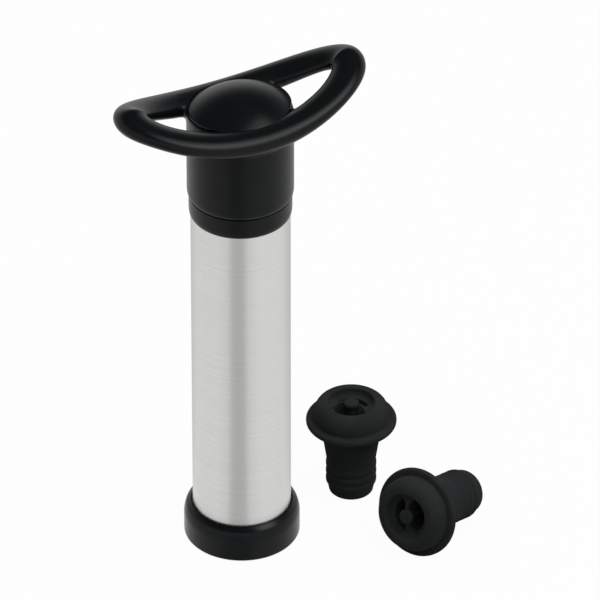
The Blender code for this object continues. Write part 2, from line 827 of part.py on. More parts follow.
def build():
    turn_over, axis_up = lying_pose()
    foot = lying_foot(axis_up)
    pump = pump_place(axis_up, foot)

    barrel = joint_frame("barrel_frame", pump)
    piston = joint_frame("piston_frame", (0.0, 0.0, 0.0), barrel)
    grip = joint_frame("handle_frame", (0.0, 0.0, 0.0), piston)
    standing = joint_frame("standing_stopper_frame", pump + Vector((STANDING_X, STANDING_Y, 0.0)))
    standing.rotation_euler.z = STANDING_TURN
    lying = joint_frame("lying_stopper_frame", pump + foot)
    lying.rotation_euler = turn_over.to_euler()

    for make in (
        make_steel_tube,
        make_cylinder_liner,
        make_base_ring,
        make_inlet_cup,
        make_inlet_gasket,
        make_cup_o_ring,
        make_collar,
        make_rod_bush,
        make_bumper_ring,
    ):
        make(barrel)
    for make in (make_piston_head, make_piston_seal, make_seal_retainer):
        make(piston)
    for make in (
        make_piston_rod,
        make_piston_screw,
        make_handle,
        make_handle_cap,
        make_handle_screw,
        make_handle_washer,
    ):
        make(grip)
    make_stopper("stopper_standing", standing)
    make_stopper("stopper_lying", lying)


build()
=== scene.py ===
# %% [markdown]
# A wine vacuum pump and its two stoppers
#
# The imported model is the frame: every piece is in metres, on the table at height zero. The box
# of the whole set is measured at once, because nothing made below may grow past it.

# %% Load the frame
import math

import bpy
from mathutils import Matrix, Vector


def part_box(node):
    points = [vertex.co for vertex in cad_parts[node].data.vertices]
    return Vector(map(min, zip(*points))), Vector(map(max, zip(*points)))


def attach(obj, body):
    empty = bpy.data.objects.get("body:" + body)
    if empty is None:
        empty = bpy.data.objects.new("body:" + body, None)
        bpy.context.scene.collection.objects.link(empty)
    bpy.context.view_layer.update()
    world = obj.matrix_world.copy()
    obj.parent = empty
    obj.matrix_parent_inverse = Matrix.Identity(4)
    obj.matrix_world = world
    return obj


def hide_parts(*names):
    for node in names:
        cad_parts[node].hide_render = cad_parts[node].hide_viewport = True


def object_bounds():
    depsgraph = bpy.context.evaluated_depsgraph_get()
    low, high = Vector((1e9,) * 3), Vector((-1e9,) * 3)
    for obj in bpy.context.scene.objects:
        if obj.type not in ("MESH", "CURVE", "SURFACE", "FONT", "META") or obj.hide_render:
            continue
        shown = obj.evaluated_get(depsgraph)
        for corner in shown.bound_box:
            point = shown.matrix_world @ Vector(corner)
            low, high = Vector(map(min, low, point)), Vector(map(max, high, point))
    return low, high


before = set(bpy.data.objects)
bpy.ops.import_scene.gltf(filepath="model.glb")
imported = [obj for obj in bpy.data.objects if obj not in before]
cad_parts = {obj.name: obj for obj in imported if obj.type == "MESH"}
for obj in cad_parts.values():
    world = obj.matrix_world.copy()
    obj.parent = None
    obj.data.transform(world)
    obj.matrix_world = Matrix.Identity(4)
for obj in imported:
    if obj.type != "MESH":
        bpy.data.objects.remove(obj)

for leftover in ("Cube", "Light", "Camera"):
    if leftover in bpy.data.objects:
        bpy.data.objects.remove(bpy.data.objects[leftover], do_unlink=True)
frame_low, frame_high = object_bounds()
set_size = (frame_high - frame_low) * 1000
print("the set measures", [round(side, 1) for side in set_size], "mm")

# %% [markdown]
# Where things stand
#
# The barrel is round, so the middle of its box is its axis. The standing stopper is round too,
# and only turned about its own axis. The lying one rests on its brim and on its foot, so its
# axis slopes by the angle between those two circles.

# %% Find the axes
def box_middle(node):
    low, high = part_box(node)
    return (low + high) / 2


pump_axis = box_middle("steel_tube").xy
standing_axis = box_middle("stopper_standing").xy
print("pump axis", pump_axis[:], "standing stopper", standing_axis[:])

# %% [markdown]
# The camera
#
# The photograph was taken from a little to the left and well above, with a long lens: the
# barrel's sides hardly draw together. The camera is far away and its lens is long, so that
# the same outlines fall on the same pixels.

# %% Place the camera
CAMERA_AZIMUTH = math.radians(-27.4)
CAMERA_ELEVATION = math.radians(35.0)
CAMERA_DISTANCE = 3.42353
CAMERA_SHIFT_RIGHT = 0.02248
CAMERA_SHIFT_UP = 0.08818
CAMERA_LENS = 529.87
CAMERA_SENSOR = 36.0


def direction(azimuth, elevation):
    """A unit arrow away from the set. Its azimuth is turned from the front, which is -Y."""
    return Vector(
        (
            math.sin(azimuth) * math.cos(elevation),
            -math.cos(azimuth) * math.cos(elevation),
            math.sin(elevation),
        )
    )


camera_right = Vector((math.cos(CAMERA_AZIMUTH), math.sin(CAMERA_AZIMUTH), 0.0))
camera_back = direction(CAMERA_AZIMUTH, CAMERA_ELEVATION)
camera_up = camera_back.cross(camera_right)

bpy.ops.object.camera_add()
camera = bpy.context.object
camera.name = "photo_camera"
camera.data.lens = CAMERA_LENS
camera.data.sensor_width = CAMERA_SENSOR
camera.location = (
    pump_axis.to_3d()
    + CAMERA_SHIFT_RIGHT * camera_right
    + CAMERA_SHIFT_UP * camera_up
    + CAMERA_DISTANCE * camera_back
)
camera.rotation_euler = Matrix((camera_right, camera_up, camera_back)).transposed().to_euler()
bpy.context.scene.camera = camera
print("camera at", [round(value, 3) for value in camera.location])

# %% [markdown]
# What the metal sees
#
# The brushed barrel is lit by what it mirrors, and from above that is the white ground round
# it. The photograph's barrel has a soft dark band a little left of its middle, so the ground
# that it mirrors there, on the camera's side, is a dimmer white. So is the ground behind it,
# which the barrel's left and right edges mirror.

# %% The dimming towards the camera
DIM_TURN = math.radians(-6.0)
BACK_LEVEL = 0.70
SIDE_LEVEL = 1.0
SHOULDER_LEVEL = 0.93
DIM_LEVEL = 0.62
AROUND_STOPS = (
    (0.0, BACK_LEVEL),
    (0.36, SIDE_LEVEL),
    (0.84, SIDE_LEVEL),
    (0.955, SHOULDER_LEVEL),
    (0.999, DIM_LEVEL),
)


def add_node(tree, kind, **settings):
    made = tree.nodes.new(kind)
    for name, value in settings.items():
        setattr(made, name, value)
    return made


def grey(level):
    return (level, level, level, 1.0)


WHITE = grey(1.0)


def grey_ramp(tree, place, stops):
    """Grey levels along a value, eased between stops of (place, level)."""
    ramp = add_node(tree, "ShaderNodeValToRGB")
    ramp.color_ramp.interpolation = "EASE"
    first, *middle, last = stops
    ramp.color_ramp.elements[0].position = first[0]
    ramp.color_ramp.elements[0].color = grey(first[1])
    ramp.color_ramp.elements[1].position = last[0]
    ramp.color_ramp.elements[1].color = grey(last[1])
    for position, level in middle:
        ramp.color_ramp.elements.new(position).color = grey(level)
    tree.links.new(place, ramp.inputs["Fac"])
    return ramp.outputs["Color"]


def range_to_mask(tree, value, low, high, **settings):
    """A mask that runs from zero to one while the value runs from low to high."""
    made = add_node(tree, "ShaderNodeMapRange", **settings)
    made.inputs["From Min"].default_value = low
    made.inputs["From Max"].default_value = high
    tree.links.new(value, made.inputs["Value"])
    return made.outputs[0]


def mask_to_range(tree, mask, low, high):
    """A value that runs from low to high while the mask runs from zero to one."""
    made = add_node(tree, "ShaderNodeMapRange")
    made.inputs["To Min"].default_value = low
    made.inputs["To Max"].default_value = high
    tree.links.new(mask, made.inputs["Value"])
    return made.outputs[0]


def level_around(tree, place):
    """The white's level at a place seen from the pump: dimmest towards the camera."""
    flat = add_node(tree, "ShaderNodeVectorMath", operation="MULTIPLY")
    flat.inputs[1].default_value = (1.0, 1.0, 0.0)
    tree.links.new(place, flat.inputs[0])
    unit = add_node(tree, "ShaderNodeVectorMath", operation="NORMALIZE")
    tree.links.new(flat.outputs[0], unit.inputs[0])
    towards = add_node(tree, "ShaderNodeVectorMath", operation="DOT_PRODUCT")
    towards.inputs[1].default_value = direction(CAMERA_AZIMUTH + DIM_TURN, 0.0)
    tree.links.new(unit.outputs[0], towards.inputs[0])
    share = range_to_mask(tree, towards.outputs["Value"], -1.0, 1.0)
    return grey_ramp(tree, share, AROUND_STOPS)


def seen_mask(tree, path):
    """One for a ray from the camera, from a mirroring surface or through glass, else zero."""
    found = path.outputs["Is Camera Ray"]
    for label in ("Is Glossy Ray", "Is Transmission Ray"):
        larger = add_node(tree, "ShaderNodeMath", operation="MAXIMUM")
        tree.links.new(found, larger.inputs[0])
        tree.links.new(path.outputs[label], larger.inputs[1])
        found = larger.outputs[0]
    return found


def choose_colour(tree, mask, without, when):
    """One colour without the mask, and the other where the mask is one."""
    chosen = add_node(tree, "ShaderNodeMix", data_type="RGBA")
    tree.links.new(mask, chosen.inputs["Factor"])
    for socket, colour in ((chosen.inputs[6], without), (chosen.inputs[7], when)):
        if isinstance(colour, tuple):
            socket.default_value = colour
        else:
            tree.links.new(colour, socket)
    return chosen.outputs[2]


print("dimming from", SIDE_LEVEL, "to", DIM_LEVEL)

# %% [markdown]
# The white ground
#
# The photograph's ground has no edge and no tint. A plain white floor would turn grey away from
# the lamps, so most of what the camera sees of it is a steady white, and a small share is the
# real lit surface, which keeps the object's shadow.

# %% Make the floor
FLOOR_SIZE = 12.0
FLOOR_STEADY_SHARE = 0.965
FLOOR_LIT_LEVEL = 0.46


def deselect():
    bpy.ops.object.select_all(action="DESELECT")


deselect()
bpy.ops.mesh.primitive_plane_add(size=FLOOR_SIZE, location=(0.0, 0.0, 0.0))
floor = bpy.context.object
floor.name = "floor"
floor_paint = bpy.data.materials.new("white_floor")
floor_paint.use_nodes = True
floor_tree = floor_paint.node_tree
floor_tree.nodes.clear()
floor_path = add_node(floor_tree, "ShaderNodeLightPath")
floor_place = add_node(floor_tree, "ShaderNodeVectorMath", operation="SUBTRACT")
floor_place.inputs[1].default_value = pump_axis.to_3d()
floor_tree.links.new(
    add_node(floor_tree, "ShaderNodeTexCoord").outputs["Object"], floor_place.inputs[0]
)
floor_white = add_node(floor_tree, "ShaderNodeEmission")
floor_tree.links.new(
    choose_colour(
        floor_tree,
        floor_path.outputs["Is Glossy Ray"],
        WHITE,
        level_around(floor_tree, floor_place.outputs[0]),
    ),
    floor_white.inputs["Color"],
)
floor_lit = add_node(floor_tree, "ShaderNodeBsdfDiffuse")
floor_lit.inputs["Color"].default_value = grey(FLOOR_LIT_LEVEL)
floor_share = add_node(floor_tree, "ShaderNodeMath", operation="MULTIPLY")
floor_share.inputs[1].default_value = FLOOR_STEADY_SHARE
floor_tree.links.new(seen_mask(floor_tree, floor_path), floor_share.inputs[0])
floor_mix = add_node(floor_tree, "ShaderNodeMixShader")
floor_tree.links.new(floor_share.outputs[0], floor_mix.inputs["Fac"])
floor_tree.links.new(floor_lit.outputs[0], floor_mix.inputs[1])
floor_tree.links.new(floor_white.outputs[0], floor_mix.inputs[2])
floor_output = add_node(floor_tree, "ShaderNodeOutputMaterial")
floor_tree.links.new(floor_mix.outputs[0], floor_output.inputs["Surface"])
floor.data.materials.append(floor_paint)
print("floor", FLOOR_SIZE, "m wide")

# %% [markdown]
# The tent
#
# The world is the tent. It is plain white to the camera. Mirrored in the pump it also has a
# dark roof, because the photograph's handle is nearly black on top and light only at its edges.
# Matt surfaces get their light mostly from high up, as the stoppers' pale heads and dark stems
# show, so the light is brighter overhead than at the sides.

# %% Make the tent
TENT_STRENGTH = 2.2
ROOF_STOPS = (
    (0.0, 1.0),
    (0.30, 1.0),
    (0.46, 0.50),
    (0.70, 0.06),
    (1.0, 0.04),
)
LIGHT_STOPS = (
    (0.0, 0.03),
    (0.50, 0.16),
    (0.92, 1.0),
)

scene = bpy.context.scene
scene.view_settings.view_transform = "Standard"
tent = bpy.data.worlds.new("white_tent")
scene.world = tent
tent.use_nodes = True
tent_tree = tent.node_tree
tent_tree.nodes.clear()
tent_path = add_node(tent_tree, "ShaderNodeLightPath")
tent_direction = add_node(tent_tree, "ShaderNodeTexCoord").outputs["Generated"]
tent_height = add_node(tent_tree, "ShaderNodeSeparateXYZ")
tent_tree.links.new(tent_direction, tent_height.inputs[0])
tent_seen = seen_mask(tent_tree, tent_path)
tent_plain = choose_colour(
    tent_tree,
    tent_seen,
    grey_ramp(tent_tree, tent_height.outputs["Z"], LIGHT_STOPS),
    WHITE,
)
tent_light = add_node(tent_tree, "ShaderNodeBackground")
tent_tree.links.new(
    choose_colour(
        tent_tree,
        tent_path.outputs["Is Glossy Ray"],
        tent_plain,
        grey_ramp(tent_tree, tent_height.outputs["Z"], ROOF_STOPS),
    ),
    tent_light.inputs["Color"],
)
tent_tree.links.new(
    mask_to_range(tent_tree, tent_seen, TENT_STRENGTH, 1.0), tent_light.inputs["Strength"]
)
tent_output = add_node(tent_tree, "ShaderNodeOutputWorld")
tent_tree.links.new(tent_light.outputs[0], tent_output.inputs["Surface"])
print("tent strength", TENT_STRENGTH)

# %% [markdown]
# The lamps
#
# Two soft lamps stand to the right of the camera, one above the other. They draw the broad
# light band that runs along the middle of the handle's front bar and round its right end.

# %% Hang the lamps
LAMP_TARGET = Vector((0.0, 0.0, 0.10))
LAMP_DISTANCE = 1.40


def soft_lamp(name, turn, elevation, width, power):
    """A square soft lamp that looks at the set, turned so far from the camera's side."""
    away = direction(CAMERA_AZIMUTH + math.radians(turn), math.radians(elevation))
    bpy.ops.object.light_add(type="AREA", location=LAMP_TARGET + away * LAMP_DISTANCE)
    lamp = bpy.context.object
    lamp.name = name
    lamp.data.size = width
    lamp.data.energy = power
    lamp.rotation_euler = away.to_track_quat("Z", "Y").to_euler()
    print(name, power, "W")


soft_lamp("low_lamp", turn=58.0, elevation=40.0, width=0.75, power=4.6)
soft_lamp("high_lamp", turn=64.0, elevation=52.0, width=0.80, power=5.4)

# %% [markdown]
# Shared surface effects
#
# Two effects turn up on several finishes, so each is a node group. A moulded surface has a fine
# grain from the mould. Everything that is handled has broad, faint smudges, which change its
# shine a little. The groups give only heights and masks, and each material says how much it
# takes of them.

# %% Node groups for grain and smudges
GRAIN_SCALE = 2600.0
GRAIN_LOW = 0.35
GRAIN_HIGH = 0.65
SMUDGE_SCALE = 90.0
SMUDGE_LOW = 0.42
SMUDGE_HIGH = 0.68


def new_group(name, inputs, outputs):
    group = bpy.data.node_groups.new(name, "ShaderNodeTree")
    for label, kind, value in inputs:
        made = group.interface.new_socket(label, in_out="INPUT", socket_type=kind)
        made.default_value = value
    for label in outputs:
        group.interface.new_socket(label, in_out="OUTPUT", socket_type="NodeSocketFloat")
    return group, group.nodes.new("NodeGroupInput"), group.nodes.new("NodeGroupOutput")


def object_place(tree):
    return add_node(tree, "ShaderNodeTexCoord").outputs["Object"]


def noise(tree, place, detail, roughness):
    made = add_node(tree, "ShaderNodeTexNoise")
    made.inputs["Detail"].default_value = detail
    made.inputs["Roughness"].default_value = roughness
    tree.links.new(place, made.inputs["Vector"])
    return made


GRAIN_GROUP, grain_in, grain_out = new_group(
    "mould_grain",
    (("Scale", "NodeSocketFloat", GRAIN_SCALE),),
    ("Height", "Mask"),
)
grain_fine = noise(GRAIN_GROUP, object_place(GRAIN_GROUP), detail=3.0, roughness=0.6)
GRAIN_GROUP.links.new(grain_in.outputs["Scale"], grain_fine.inputs["Scale"])
GRAIN_GROUP.links.new(grain_fine.outputs["Fac"], grain_out.inputs["Height"])
GRAIN_GROUP.links.new(
    range_to_mask(GRAIN_GROUP, grain_fine.outputs["Fac"], GRAIN_LOW, GRAIN_HIGH),
    grain_out.inputs["Mask"],
)

SMUDGE_GROUP, smudge_in, smudge_out = new_group(
    "handling_smudges",
    (("Scale", "NodeSocketFloat", SMUDGE_SCALE),),
    ("Mask",),
)
smudge_wide = noise(SMUDGE_GROUP, object_place(SMUDGE_GROUP), detail=4.0, roughness=0.62)
SMUDGE_GROUP.links.new(smudge_in.outputs["Scale"], smudge_wide.inputs["Scale"])
SMUDGE_GROUP.links.new(
    range_to_mask(
        SMUDGE_GROUP,
        smudge_wide.outputs["Fac"],
        SMUDGE_LOW,
        SMUDGE_HIGH,
        interpolation_type="SMOOTHSTEP",
    ),
    smudge_out.inputs["Mask"],
)
print("groups", GRAIN_GROUP.name, SMUDGE_GROUP.name)

# %% [markdown]
# Moulded finishes
#
# Satin plastic and matt rubber are the same recipe with other values: a colour that changes a
# little with the smudges, a roughness that changes with the smudges and the grain, and the
# grain as a very low bump. The mirror share of the black mouldings is weak, because their
# surface is finely broken up.

# %% A recipe for mouldings
MOULDING_SMUDGE_SHARE = 0.5


def use_group(tree, group, scale):
    made = add_node(tree, "ShaderNodeGroup", node_tree=group)
    made.inputs["Scale"].default_value = scale
    return made


def blend_masks(tree, first, share, second):
    """One mask from two: this share of the first, and the rest from the second."""
    rest = add_node(tree, "ShaderNodeMath", operation="MULTIPLY")
    rest.inputs[1].default_value = 1 - share
    tree.links.new(second, rest.inputs[0])
    both = add_node(tree, "ShaderNodeMath", operation="MULTIPLY_ADD")
    both.inputs[1].default_value = share
    tree.links.new(first, both.inputs[0])
    tree.links.new(rest.outputs[0], both.inputs[2])
    return both.outputs[0]


def add_relief(tree, shader, height, depth):
    """A very low bump, from a height that runs over the surface."""
    bump = add_node(tree, "ShaderNodeBump")
    bump.inputs["Distance"].default_value = depth
    tree.links.new(height, bump.inputs["Height"])
    tree.links.new(bump.outputs[0], shader.inputs["Normal"])


def new_finish(name):
    """An empty finish: the material, its node tree and its shader."""
    material = bpy.data.materials.new(name)
    material.use_nodes = True
    return material, material.node_tree, material.node_tree.nodes["Principled BSDF"]


def moulding(
    name,
    colour,
    worn_colour,
    roughness,
    worn_roughness,
    specular,
    grain_scale,
    grain_depth,
    sheen=0.0,
):
    """A moulded finish. Colours and roughness run from clean to smudged."""
    material, tree, shader = new_finish(name)
    shader.inputs["Specular IOR Level"].default_value = specular
    shader.inputs["Sheen Weight"].default_value = sheen
    smudges = use_group(tree, SMUDGE_GROUP, SMUDGE_SCALE)
    grain = use_group(tree, GRAIN_GROUP, grain_scale)
    tree.links.new(
        choose_colour(tree, smudges.outputs["Mask"], (*colour, 1.0), (*worn_colour, 1.0)),
        shader.inputs["Base Color"],
    )
    wear = blend_masks(
        tree, smudges.outputs["Mask"], MOULDING_SMUDGE_SHARE, grain.outputs["Mask"]
    )
    tree.links.new(
        mask_to_range(tree, wear, roughness, worn_roughness), shader.inputs["Roughness"]
    )
    add_relief(tree, shader, grain.outputs["Height"], grain_depth)
    return material


black_plastic = moulding(
    "black_satin_plastic",
    colour=(0.0020, 0.0027, 0.0033),
    worn_colour=(0.0028, 0.0035, 0.0041),
    roughness=0.27,
    worn_roughness=0.22,
    specular=0.15,
    grain_scale=2600.0,
    grain_depth=0.000012,
)
black_rubber = moulding(
    "black_matt_rubber",
    colour=(0.0142, 0.0151, 0.0156),
    worn_colour=(0.0172, 0.0181, 0.0186),
    roughness=0.58,
    worn_roughness=0.50,
    specular=0.0,
    grain_scale=1900.0,
    grain_depth=0.000020,
    sheen=0.02,
)
seal_rubber = moulding(
    "soft_seal_rubber",
    colour=(0.026, 0.026, 0.026),
    worn_colour=(0.034, 0.034, 0.033),
    roughness=0.62,
    worn_roughness=0.72,
    specular=0.30,
    grain_scale=1900.0,
    grain_depth=0.000020,
)
liner_plastic = moulding(
    "pale_liner_plastic",
    colour=(0.55, 0.56, 0.55),
    worn_colour=(0.50, 0.51, 0.50),
    roughness=0.42,
    worn_roughness=0.50,
    specular=0.5,
    grain_scale=2600.0,
    grain_depth=0.000008,
)
rod_plastic = moulding(
    "dark_rod_plastic",
    colour=(0.032, 0.035, 0.035),
    worn_colour=(0.040, 0.043, 0.042),
    roughness=0.34,
    worn_roughness=0.26,
    specular=0.4,
    grain_scale=3600.0,
    grain_depth=0.000006,
)
bush_plastic = moulding(
    "waxy_bush_plastic",
    colour=(0.60, 0.58, 0.53),
    worn_colour=(0.56, 0.53, 0.47),
    roughness=0.46,
    worn_roughness=0.54,
    specular=0.5,
    grain_scale=2600.0,
    grain_depth=0.000008,
)
print("mouldings ready")

# %% [markdown]
# Brushed steel
#
# The barrel's sheet is brushed round and round. A noise that is stretched far along the sheet
# and squeezed along the axis gives the fine lines, for colour, roughness and a low bump. The
# lines spread a highlight up and down the barrel and hardly sideways, which the shader's
# anisotropy gives when its tangent runs round the barrel and is turned a quarter.

# %% A recipe for steel
BRUSH_SCALE = (14.0, 14.0, 5200.0)
BROAD_BRUSH_SCALE = (6.0, 6.0, 900.0)
BRUSH_LOW = 0.70
BRUSH_HIGH = 1.30
BRUSH_DEPTH = 0.0000022
STEEL_SMUDGE_SCALE = 60.0
STEEL_SMUDGE_SHARE = 0.35
QUARTER_TURN = 0.25


def brushed(name, colour, dull_colour, roughness, dull_roughness, anisotropy, centre):
    """A brushed finish. Colours and roughness run from the bright lines to the dull ones."""
    material, tree, shader = new_finish(name)
    shader.inputs["Metallic"].default_value = 1.0
    place = object_place(tree)
    lines = []
    for scale in (BRUSH_SCALE, BROAD_BRUSH_SCALE):
        stretched = add_node(tree, "ShaderNodeMapping")
        stretched.inputs["Location"].default_value = [
            -offset * along for offset, along in zip((*centre, 0.0), scale)
        ]
        stretched.inputs["Scale"].default_value = scale
        tree.links.new(place, stretched.inputs["Vector"])
        line = noise(tree, stretched.outputs[0], detail=3.0, roughness=0.55)
        line.inputs["Scale"].default_value = 1.0
        lines.append(line.outputs["Fac"])
    both = add_node(tree, "ShaderNodeMath", operation="ADD")
    tree.links.new(lines[0], both.inputs[0])
    tree.links.new(lines[1], both.inputs[1])
    dullness = range_to_mask(tree, both.outputs[0], BRUSH_LOW, BRUSH_HIGH)
    smudges = use_group(tree, SMUDGE_GROUP, STEEL_SMUDGE_SCALE)
    tree.links.new(
        choose_colour(tree, dullness, (*colour, 1.0), (*dull_colour, 1.0)),
        shader.inputs["Base Color"],
    )
    wear = blend_masks(tree, smudges.outputs["Mask"], STEEL_SMUDGE_SHARE, dullness)
    tree.links.new(
        mask_to_range(tree, wear, roughness, dull_roughness), shader.inputs["Roughness"]
    )
    shader.inputs["Anisotropic"].default_value = anisotropy
    shader.inputs["Anisotropic Rotation"].default_value = QUARTER_TURN
    tangent = add_node(tree, "ShaderNodeTangent", direction_type="RADIAL", axis="Z")
    tree.links.new(tangent.outputs[0], shader.inputs["Tangent"])
    add_relief(tree, shader, lines[0], BRUSH_DEPTH)
    return material


brushed_steel = brushed(
    "brushed_barrel_steel",
    colour=(0.66, 0.66, 0.65),
    dull_colour=(0.60, 0.60, 0.59),
    roughness=0.26,
    dull_roughness=0.34,
    anisotropy=0.75,
    centre=pump_axis,
)
screw_steel = brushed(
    "turned_screw_steel",
    colour=(0.56, 0.56, 0.56),
    dull_colour=(0.48, 0.48, 0.48),
    roughness=0.30,
    dull_roughness=0.42,
    anisotropy=0.3,
    centre=pump_axis,
)
print("steels ready")

# %% [markdown]
# Turning a piece
#
# Most pieces of the pump are round. Each starts as a single point: a small plane is merged
# into it, the point is moved to the profile's start, and the profile is extruded point by
# point, as if drawn by hand. Spinning that line about the piece's axis makes the solid.

# %% Turn, soften, cut and join
SPECK = 0.001
SAME_PLACE = 0.000001
PUMP_STEPS = 128
STOPPER_STEPS = 112
CREASE_ANGLE = math.radians(32.0)


def pick(piece):
    """Makes this piece the only selected one, and the active one."""
    deselect()
    piece.select_set(True)
    bpy.context.view_layer.objects.active = piece


def start_editing(piece):
    """Edit mode, with the whole piece selected."""
    pick(piece)
    bpy.ops.object.mode_set(mode="EDIT")
    bpy.ops.mesh.select_all(action="SELECT")


def select_where(piece, wanted):
    """In edit mode, selects only the points for which wanted(place) is true, and counts them."""
    bpy.ops.mesh.select_mode(type="VERT")
    bpy.ops.mesh.select_all(action="DESELECT")
    bpy.ops.object.mode_set(mode="OBJECT")
    found = 0
    for point in piece.data.vertices:
        point.select = wanted(point.co)
        found += point.select
    bpy.ops.object.mode_set(mode="EDIT")
    return found


def smooth(piece):
    """Smooth faces that keep the sharp creases."""
    pick(piece)
    bpy.ops.object.shade_smooth_by_angle(angle=CREASE_ANGLE)


def turned(name, outline, axis, steps=PUMP_STEPS, closed=True):
    """A profile of (radius, height) points, spun about an upright axis."""
    deselect()
    bpy.ops.mesh.primitive_plane_add(size=SPECK, location=(0.0, 0.0, 0.0))
    piece = bpy.context.object
    piece.name = name
    bpy.ops.object.mode_set(mode="EDIT")
    bpy.ops.mesh.merge(type="CENTER")
    start = Vector((outline[0][0], 0.0, outline[0][1]))
    bpy.ops.transform.translate(value=start + axis.to_3d())
    corner = start
    for radius, height in outline[1:]:
        following = Vector((radius, 0.0, height))
        bpy.ops.mesh.extrude_vertices_move(
            TRANSFORM_OT_translate={"value": following - corner}
        )
        corner = following
    if closed:
        ends = (start + axis.to_3d(), corner + axis.to_3d())
        select_where(
            piece, lambda place: min((place - end).length for end in ends) < SAME_PLACE
        )
        bpy.ops.mesh.edge_face_add()
    bpy.ops.mesh.select_all(action="SELECT")
    bpy.ops.mesh.spin(
        steps=steps,
        angle=math.tau,
        use_auto_merge=True,
        center=axis.to_3d(),
        axis=(0.0, 0.0, 1.0),
    )
    bpy.ops.mesh.select_all(action="SELECT")
    bpy.ops.mesh.remove_doubles(threshold=SAME_PLACE)
    bpy.ops.mesh.normals_make_consistent(inside=False)
    bpy.ops.object.mode_set(mode="OBJECT")
    smooth(piece)
    print(name, len(piece.data.vertices), "points")
    return piece


def apply_modifier(piece, modifier):
    pick(piece)
    bpy.ops.object.modifier_apply(modifier=modifier.name)


def soften(piece, width, segments=2, angle=CREASE_ANGLE):
    """Rounds the sharp edges by a small width, and lets the wide faces rule the shading."""
    bevel = piece.modifiers.new("soften", "BEVEL")
    bevel.limit_method = "ANGLE"
    bevel.angle_limit = angle
    bevel.width = width
    bevel.segments = segments
    apply_modifier(piece, bevel)
    smooth(piece)
    even = piece.modifiers.new("even_shading", "WEIGHTED_NORMAL")
    even.keep_sharp = True
    apply_modifier(piece, even)


def combine(piece, other, operation):
    """Joins another solid on, or cuts it out, and throws that other one away."""
    boolean = piece.modifiers.new(operation.lower(), "BOOLEAN")
    boolean.operation = operation
    boolean.object = other
    boolean.solver = "EXACT"
    apply_modifier(piece, boolean)
    bpy.data.objects.remove(other, do_unlink=True)


def arc(centre_radius, centre_height, across, along, start, end, steps=6):
    """Points of an oval arc. Angles run from outwards towards upwards, in degrees."""
    points = []
    for i in range(steps + 1):
        angle = math.radians(start + (end - start) * i / steps)
        points.append(
            (centre_radius + across * math.cos(angle), centre_height + along * math.sin(angle))
        )
    return points


def foot_round(radius, foot, across, along, steps=6):
    """A quarter of an oval, which rounds a side of this radius in to its foot."""
    return arc(radius - across, foot + along, across, along, start=0, end=-90, steps=steps)


def hand_over(piece, material, body, node):
    """The finished piece takes its finish, rides on its body and stands for its node."""
    piece.data.materials.clear()
    piece.data.materials.append(material)
    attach(piece, body)
    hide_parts(node)
    print(piece.name, len(piece.data.polygons), "faces, rides on", body)


# %% [markdown]
# The steel tube
#
# A thin sheet rolled and welded to a tube, 38 mm wide. It is a ring with a rectangular section,
# and its cut edges are broken by a fine bevel.

# %% Steel tube
GAP = 0.0003
TUBE_RADIUS = 0.0190
TUBE_WALL = 0.0005
TUBE_EDGE = 0.00012

tube_low, tube_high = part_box("steel_tube")
tube_inside = TUBE_RADIUS - TUBE_WALL
tube = turned(
    "fine_steel_tube",
    [
        (TUBE_RADIUS, tube_high.z),
        (TUBE_RADIUS, tube_low.z),
        (tube_inside, tube_low.z),
        (tube_inside, tube_high.z),
    ],
    pump_axis,
)
soften(tube, TUBE_EDGE)
hand_over(tube, brushed_steel, "barrel", "steel_tube")

# %% [markdown]
# The base ring
#
# The black foot is one moulding: a heavy ring whose side swells a little, with a black slope
# that rises from its shoulder to the tube. The edge between the side and the slope catches a
# thin line of light, so its round is modelled and not left to the finish.

# %% Base ring
RING_RADIUS = 0.0224
RING_SHOULDER_RADIUS = 0.0212
RING_SHOULDER_HEIGHT = 0.0134
RING_SIDE_HEIGHT = 0.0085
RING_SWELL_ANGLE = 30
RING_LIP_WIDTH = 0.0004
RING_FLOOR = 0.0035
RING_FOOT_ROUND = 0.0012
RING_MOUTH = 0.0179
EDGE_ROUND = 0.00025

ring_low, ring_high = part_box("base_ring")
ring_seat = TUBE_RADIUS + GAP
swell_turn = math.radians(RING_SWELL_ANGLE)
swell_across = (RING_RADIUS - RING_SHOULDER_RADIUS) / (1 - math.cos(swell_turn))
swell_along = (RING_SHOULDER_HEIGHT - RING_SIDE_HEIGHT) / math.sin(swell_turn)
ring_outline = [(ring_seat + RING_LIP_WIDTH, ring_high.z)]
ring_outline += arc(
    RING_RADIUS - swell_across,
    RING_SIDE_HEIGHT,
    swell_across,
    swell_along,
    start=RING_SWELL_ANGLE,
    end=0,
)
ring_outline += foot_round(RING_RADIUS, 0.0, RING_FOOT_ROUND, RING_FOOT_ROUND)
ring_outline += [
    (RING_MOUTH, ring_low.z),
    (RING_MOUTH, RING_FLOOR),
    (ring_seat, RING_FLOOR),
    (ring_seat, ring_high.z),
]
base_ring = turned("fine_base_ring", ring_outline, pump_axis)
soften(base_ring, EDGE_ROUND)
hand_over(base_ring, black_plastic, "barrel", "base_ring")

# %% [markdown]
# The collar
#
# The collar caps the tube's upper end and holds the bush that guides the rod. Its foot curves
# in to the steel, which leaves the thin dark line that is seen between the two.

# %% Collar
COLLAR_RADIUS = 0.01965
COLLAR_ROUND_HEIGHT = 0.0028
COLLAR_ROUND_DEPTH = 0.0005
COLLAR_EDGE = 0.00035
BUSH_RADIUS = 0.0138
BUSH_FLANGE_WIDTH = 0.0014
BUSH_FLANGE_THICKNESS = 0.0015
SPIGOT_RADIUS = 0.0159

